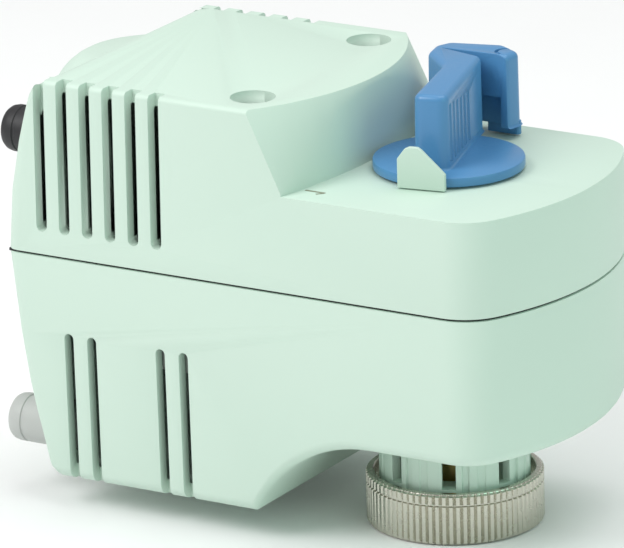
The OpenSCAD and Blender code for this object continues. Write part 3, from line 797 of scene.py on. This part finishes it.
# ---------------------------------------------------------------- screws and rear fittings
def screws(material):
    """The two roof screws with a cross recess in their heads."""
    head_z = ROOF_Z - SINK_DEPTH
    profile = [
        (0.01, PART_Z - 14), (1.2, PART_Z - 14), (1.75, PART_Z - 12.5), (1.75, head_z),
        (2.9, head_z), (3.1, head_z + 0.25), (3.1, head_z + 1.2), (2.8, head_z + 1.75),
        (2.1, head_z + 2.1), (0.01, head_z + 2.2),
    ]
    thin, wide = 0.45, 1.7
    cross = [
        (-thin, -wide), (thin, -wide), (thin, -thin), (wide, -thin), (wide, thin), (thin, thin),
        (thin, wide), (-thin, wide), (-thin, thin), (-wide, thin), (-wide, -thin), (-thin, -thin),
    ]
    parts = []
    for side in (-1, 1):
        screw = lathe("screw", profile, 48)
        tool = prism("tool", cross, head_z + 0.9, head_z + 4)
        turned(tool, Matrix.Rotation(math.radians(25 + 20 * side), 4, "Z"))
        cut(screw, tool)
        moved(screw, SCREW_X, side * SCREW_Y, 0)
        parts.append(screw)
    obj = joined("screw_pair", parts)
    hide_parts("housing_screws")
    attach(obj, "root")
    obj.data.materials.append(material)
    return smooth(obj, 30)


def fitting(name, node, material, profile):
    """A round fitting along X at the rear wall: profile is (radius, distance from its end)."""
    low, high = box_mm(node)
    obj = lathe(name, profile, 64, closed=True)
    turned(obj, Matrix.Rotation(math.radians(90), 4, "Y"))
    moved(obj, low.x, (low.y + high.y) / 2, (low.z + high.z) / 2)
    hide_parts(node)
    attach(obj, "root")
    obj.data.materials.append(material)
    return smooth(obj, 30)


def rear_fittings(grey, dark):
    """The open cable gland and the closed blanking plug."""
    gland = [
        (3.5, 20.0), (3.5, 0.6), (3.9, 0.15), (4.3, 0.0), (4.9, 0.1), (5.6, 0.6), (6.0, 1.3),
        (6.2, 2.4), (6.2, 4.2), (5.9, 4.4), (5.9, 5.0), (6.2, 5.2), (6.2, 19.8), (6.0, 20.0),
    ]
    fitting("gland_body", "cable_gland", grey, gland)
    plug = [
        (0.01, 14.0), (0.01, 0.5), (1.6, 0.5), (1.9, 0.0), (4.2, 0.0), (5.1, 0.5), (5.7, 1.3),
        (6.0, 2.6), (6.0, 4.0), (5.75, 4.2), (5.75, 4.7), (6.0, 4.9), (6.0, 13.8), (5.8, 14.0),
    ]
    fitting("plug_body", "blanking_plug", dark, plug)


def dial_mark(material):
    """A plain position stroke printed on the deck."""
    z = DECK_Z - 0.02
    stroke = [(-22.3, -32.4, 0.2), (-16.6, -32.4, 0.2), (-16.6, -31.6, 0.2), (-22.3, -31.6, 0.2)]
    flag = [(-18.6, -33.5, 0.2), (-18.0, -33.9, 0.2), (-16.6, -32.4, 0.1), (-16.9, -32.0, 0.2)]
    parts = [
        prism("stroke", offset_ring(stroke, 0, 3), z, z + 0.07),
        prism("flag", offset_ring(flag, 0, 3), z, z + 0.075),
    ]
    obj = joined("dial_mark", parts)
    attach(obj, "root")
    obj.data.materials.append(material)
    return obj


# ---------------------------------------------------------------- materials
def plastic(name, tone, shade, rough, grain=0.02, scale=900.0):
    """Two close tones in a broad pattern, and fine grain in the roughness and the surface.

    grain is in millimetres, scale sets how fine the pattern is."""
    mat = bpy.data.materials.new(name)
    mat.use_nodes = True
    nodes, links = mat.node_tree.nodes, mat.node_tree.links
    shader = nodes["Principled BSDF"]
    place = nodes.new("ShaderNodeTexCoord")
    broad = nodes.new("ShaderNodeTexNoise")
    broad.inputs["Scale"].default_value = 22.0
    broad.inputs["Detail"].default_value = 3.0
    links.new(place.outputs["Object"], broad.inputs["Vector"])
    mix = nodes.new("ShaderNodeMix")
    mix.data_type = "RGBA"
    mix.inputs[MIX_A].default_value = (*tone, 1)
    mix.inputs[MIX_B].default_value = (*shade, 1)
    links.new(broad.outputs["Fac"], mix.inputs["Factor"])
    links.new(mix.outputs[MIX_RESULT], shader.inputs["Base Color"])
    fine = nodes.new("ShaderNodeTexNoise")
    fine.inputs["Scale"].default_value = scale
    fine.inputs["Detail"].default_value = 2.0
    links.new(place.outputs["Object"], fine.inputs["Vector"])
    span = nodes.new("ShaderNodeMapRange")
    span.inputs["To Min"].default_value = rough - 0.05
    span.inputs["To Max"].default_value = rough + 0.07
    links.new(fine.outputs["Fac"], span.inputs["Value"])
    links.new(span.outputs["Result"], shader.inputs["Roughness"])
    bump = nodes.new("ShaderNodeBump")
    bump.inputs["Strength"].default_value = 0.35
    bump.inputs["Distance"].default_value = grain * MM
    links.new(fine.outputs["Fac"], bump.inputs["Height"])
    links.new(bump.outputs["Normal"], shader.inputs["Normal"])
    return mat


def metal(name, tone, shade, rough):
    """The same patterns, coarser, on bare metal."""
    mat = plastic(name, tone, shade, rough, scale=500.0)
    mat.node_tree.nodes["Principled BSDF"].inputs["Metallic"].default_value = 1.0
    return mat


HOUSING = plastic("housing", (0.585, 0.725, 0.63), (0.565, 0.71, 0.615), 0.48)
MARK = plastic("mark", (0.20, 0.22, 0.15), (0.24, 0.26, 0.18), 0.6)
BLUE = plastic("blue", (0.085, 0.26, 0.50), (0.075, 0.24, 0.47), 0.3, 0.01)
NICKEL = metal("nickel", (0.62, 0.60, 0.52), (0.55, 0.54, 0.47), 0.25)
ZINC = metal("zinc", (0.60, 0.61, 0.63), (0.50, 0.51, 0.53), 0.32)
BRASS = metal("brass_metal", (0.70, 0.52, 0.22), (0.60, 0.44, 0.18), 0.3)
DARK = plastic("dark", (0.012, 0.012, 0.014), (0.02, 0.02, 0.022), 0.5)
GREY = plastic("grey", (0.50, 0.52, 0.50), (0.46, 0.48, 0.46), 0.5)
ACETAL = plastic("acetal", (0.72, 0.69, 0.58), (0.68, 0.65, 0.54), 0.4)
RUBBER = plastic("rubber", (0.015, 0.015, 0.016), (0.022, 0.022, 0.023), 0.7)
BOARD = plastic("board", (0.02, 0.12, 0.05), (0.03, 0.15, 0.07), 0.4)
CYAN = plastic("cyan", (0.03, 0.30, 0.60), (0.03, 0.26, 0.52), 0.35)
WIRE = plastic("wire", (0.10, 0.04, 0.02), (0.06, 0.025, 0.012), 0.35)

NODE_LOOKS = {
    "housing_plastic": HOUSING, "blue_plastic": BLUE, "grey_plastic": GREY, "dark_plastic": DARK,
    "gear_plastic": ACETAL, "dark_rubber": RUBBER, "nickel": NICKEL, "zinc_steel": ZINC,
    "brass": BRASS, "enamelled_wire": WIRE, "board": BOARD,
}


def dress_nodes():
    """Every CAD node takes its slot's material."""
    slots = {s["node"]: s["material_slot"] for s in frame["record"]["subparts"]}
    for name, obj in frame["nodes"].items():
        obj.data.materials.clear()
        obj.data.materials.append(NODE_LOOKS[slots[name]])
        for poly in obj.data.polygons:
            poly.material_index = 0
    # the winding's former is of a brighter blue than the knob
    frame["nodes"]["coil_former"].data.materials[0] = CYAN


# ---------------------------------------------------------------- stage
def camera():
    """The camera fitted to the object's outlines."""
    yaw, up, roll = (math.radians(a) for a in (CAM_YAW, CAM_ELEVATION, CAM_ROLL))
    back = Vector((math.sin(yaw) * math.cos(up), -math.cos(yaw) * math.cos(up), math.sin(up)))
    right = Vector((math.cos(yaw), math.sin(yaw), 0.0))
    top = back.cross(right)
    r = right * math.cos(roll) + top * math.sin(roll)
    u = top * math.cos(roll) - right * math.sin(roll)
    data = bpy.data.cameras.new("camera")
    data.lens = CAM_LENS
    data.sensor_width = SENSOR_WIDTH
    data.clip_end = 20.0
    obj = bpy.data.objects.new("camera", data)
    place = Matrix((r, u, back)).transposed().to_4x4()
    place.translation = (Vector(CAM_TARGET) + back * CAM_DISTANCE) * MM
    obj.matrix_world = place
    bpy.context.scene.collection.objects.link(obj)
    bpy.context.scene.camera = obj


def area_light(name, where, size, power, colour=(1.0, 1.0, 1.0)):
    """A rectangular lamp; where and size are in metres."""
    data = bpy.data.lights.new(name, "AREA")
    data.shape = "RECTANGLE"
    data.size, data.size_y = size
    data.energy = power
    data.color = colour
    obj = bpy.data.objects.new(name, data)
    obj.location = where
    towards = Vector(LIGHT_AIM) - Vector(where)
    obj.rotation_euler = towards.to_track_quat("-Z", "Y").to_euler()
    bpy.context.scene.collection.objects.link(obj)


def stage():
    """Paper floor just under the part, white world and three soft lamps."""
    far = FLOOR_REACH
    floor = prism("floor", [(-far, -far), (far, -far), (far, far), (-far, far)], -8, -0.2)
    paper = plastic("paper", (0.93, 0.93, 0.93), (0.91, 0.91, 0.91), 0.8)
    floor.data.materials.append(paper)
    world = bpy.data.worlds.new("studio")
    world.use_nodes = True
    sky = world.node_tree.nodes["Background"]
    sky.inputs["Color"].default_value = (1, 1, 1, 1)
    sky.inputs["Strength"].default_value = WORLD_STRENGTH
    bpy.context.scene.world = world
    area_light("key", (-0.55, -0.75, 0.95), (0.7, 0.7), 9.2)
    area_light("top", (0.15, 0.2, 1.3), (1.1, 1.1), 7.5)
    area_light("fill", (1.3, -0.2, 0.55), (0.9, 0.9), 3.0, colour=(0.45, 1.0, 0.8))
    bpy.context.scene.view_settings.view_transform = "Standard"


dress_nodes()
lower_housing(HOUSING)
upper_housing(HOUSING)
manual_knob(BLUE)
spindle(ZINC)
pointer(HOUSING)
union_nut(NICKEL)
valve_neck(HOUSING)
screws(ZINC)
rear_fittings(GREY, DARK)
dial_mark(MARK)
camera()
stage()
